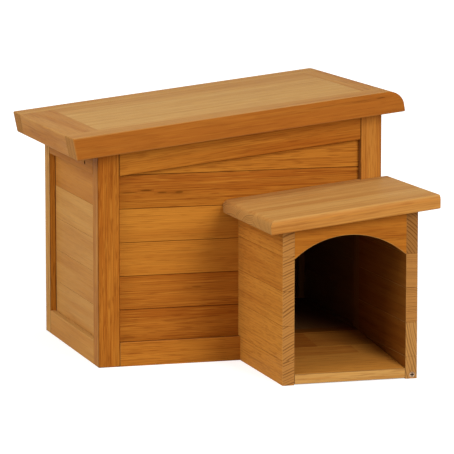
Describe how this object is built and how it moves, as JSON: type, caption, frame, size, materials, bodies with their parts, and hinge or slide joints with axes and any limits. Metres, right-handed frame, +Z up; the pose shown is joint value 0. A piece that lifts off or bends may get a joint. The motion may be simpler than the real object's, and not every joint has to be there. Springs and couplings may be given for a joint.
{
  "type": "hedgehog house",
  "caption": "Boarded wooden hedgehog house with a sloping lid hinged at the rear and a roofed entrance porch with an arched lintel and a ramp floor.",
  "frame": {"origin": "middle of the bounding box's bottom face, on the ground", "axes": "+X to the right as seen from the entrance, +Y to the rear, +Z up"},
  "size_m": [0.4658, 0.5333, 0.3634],
  "materials": {
    "frame_wood": "oiled honey-brown softwood",
    "board_wood": "oiled honey-brown softwood",
    "inner_wood": "plain sawn softwood",
    "porch_wood": "oiled honey-brown softwood",
    "roof_wood": "oiled pale-brown softwood",
    "zinc_steel": "zinc plated"
  },
  "bodies": {
    "house": {"front_left_post": "frame_wood", "front_right_post": "frame_wood", "rear_left_post": "frame_wood", "rear_right_post": "frame_wood", "front_bottom_rail": "frame_wood", "rear_bottom_rail": "frame_wood", "left_bottom_rail": "frame_wood", "right_bottom_rail": "frame_wood", "front_top_rail": "frame_wood", "rear_top_rail": "frame_wood", "left_top_rail": "frame_wood", "right_top_rail": "frame_wood", "front_board_1": "board_wood", "front_board_2": "board_wood", "front_board_3": "board_wood", "front_board_4": "board_wood", "front_board_5": "board_wood", "front_board_6": "board_wood", "left_board_1": "board_wood", "left_board_2": "board_wood", "left_board_3": "board_wood", "left_board_4": "board_wood", "left_board_5": "board_wood", "right_board_1": "board_wood", "right_board_2": "board_wood", "right_board_3": "board_wood", "right_board_4": "board_wood", "right_board_5": "board_wood", "right_board_6": "board_wood", "rear_board_1": "board_wood", "rear_board_2": "board_wood", "rear_board_3": "board_wood", "rear_board_4": "board_wood", "rear_board_5": "board_wood", "rear_board_6": "board_wood", "floor_boards": "inner_wood", "floor_bearers": "inner_wood", "door_jamb": "inner_wood", "ramp_bearer": "inner_wood", "porch_left_wall": "porch_wood", "porch_right_wall": "porch_wood", "porch_lintel": "porch_wood", "porch_ramp": "porch_wood", "porch_roof": "roof_wood", "hinge_wall_leaves": "zinc_steel", "hinge_pins": "zinc_steel", "hinge_wall_screws": "zinc_steel", "porch_screws": "zinc_steel", "porch_end_screw": "zinc_steel"},
    "lid": {"lid_front_rail": "roof_wood", "lid_rear_rail": "roof_wood", "lid_left_cleat": "roof_wood", "lid_right_cleat": "roof_wood", "lid_board_1": "roof_wood", "lid_board_2": "roof_wood", "lid_board_3": "roof_wood", "lid_board_4": "roof_wood", "hinge_lid_leaves": "zinc_steel", "hinge_lid_screws": "zinc_steel"}
  },
  "joints": [
    {"name": "lid_hinge", "type": "hinge", "parent": "house", "child": "lid", "pos_m": [0.0078, 0.24655, 0.30735], "axis": [-0.9938, 0, -0.1115], "range_deg": [0, 100]}
  ]
}
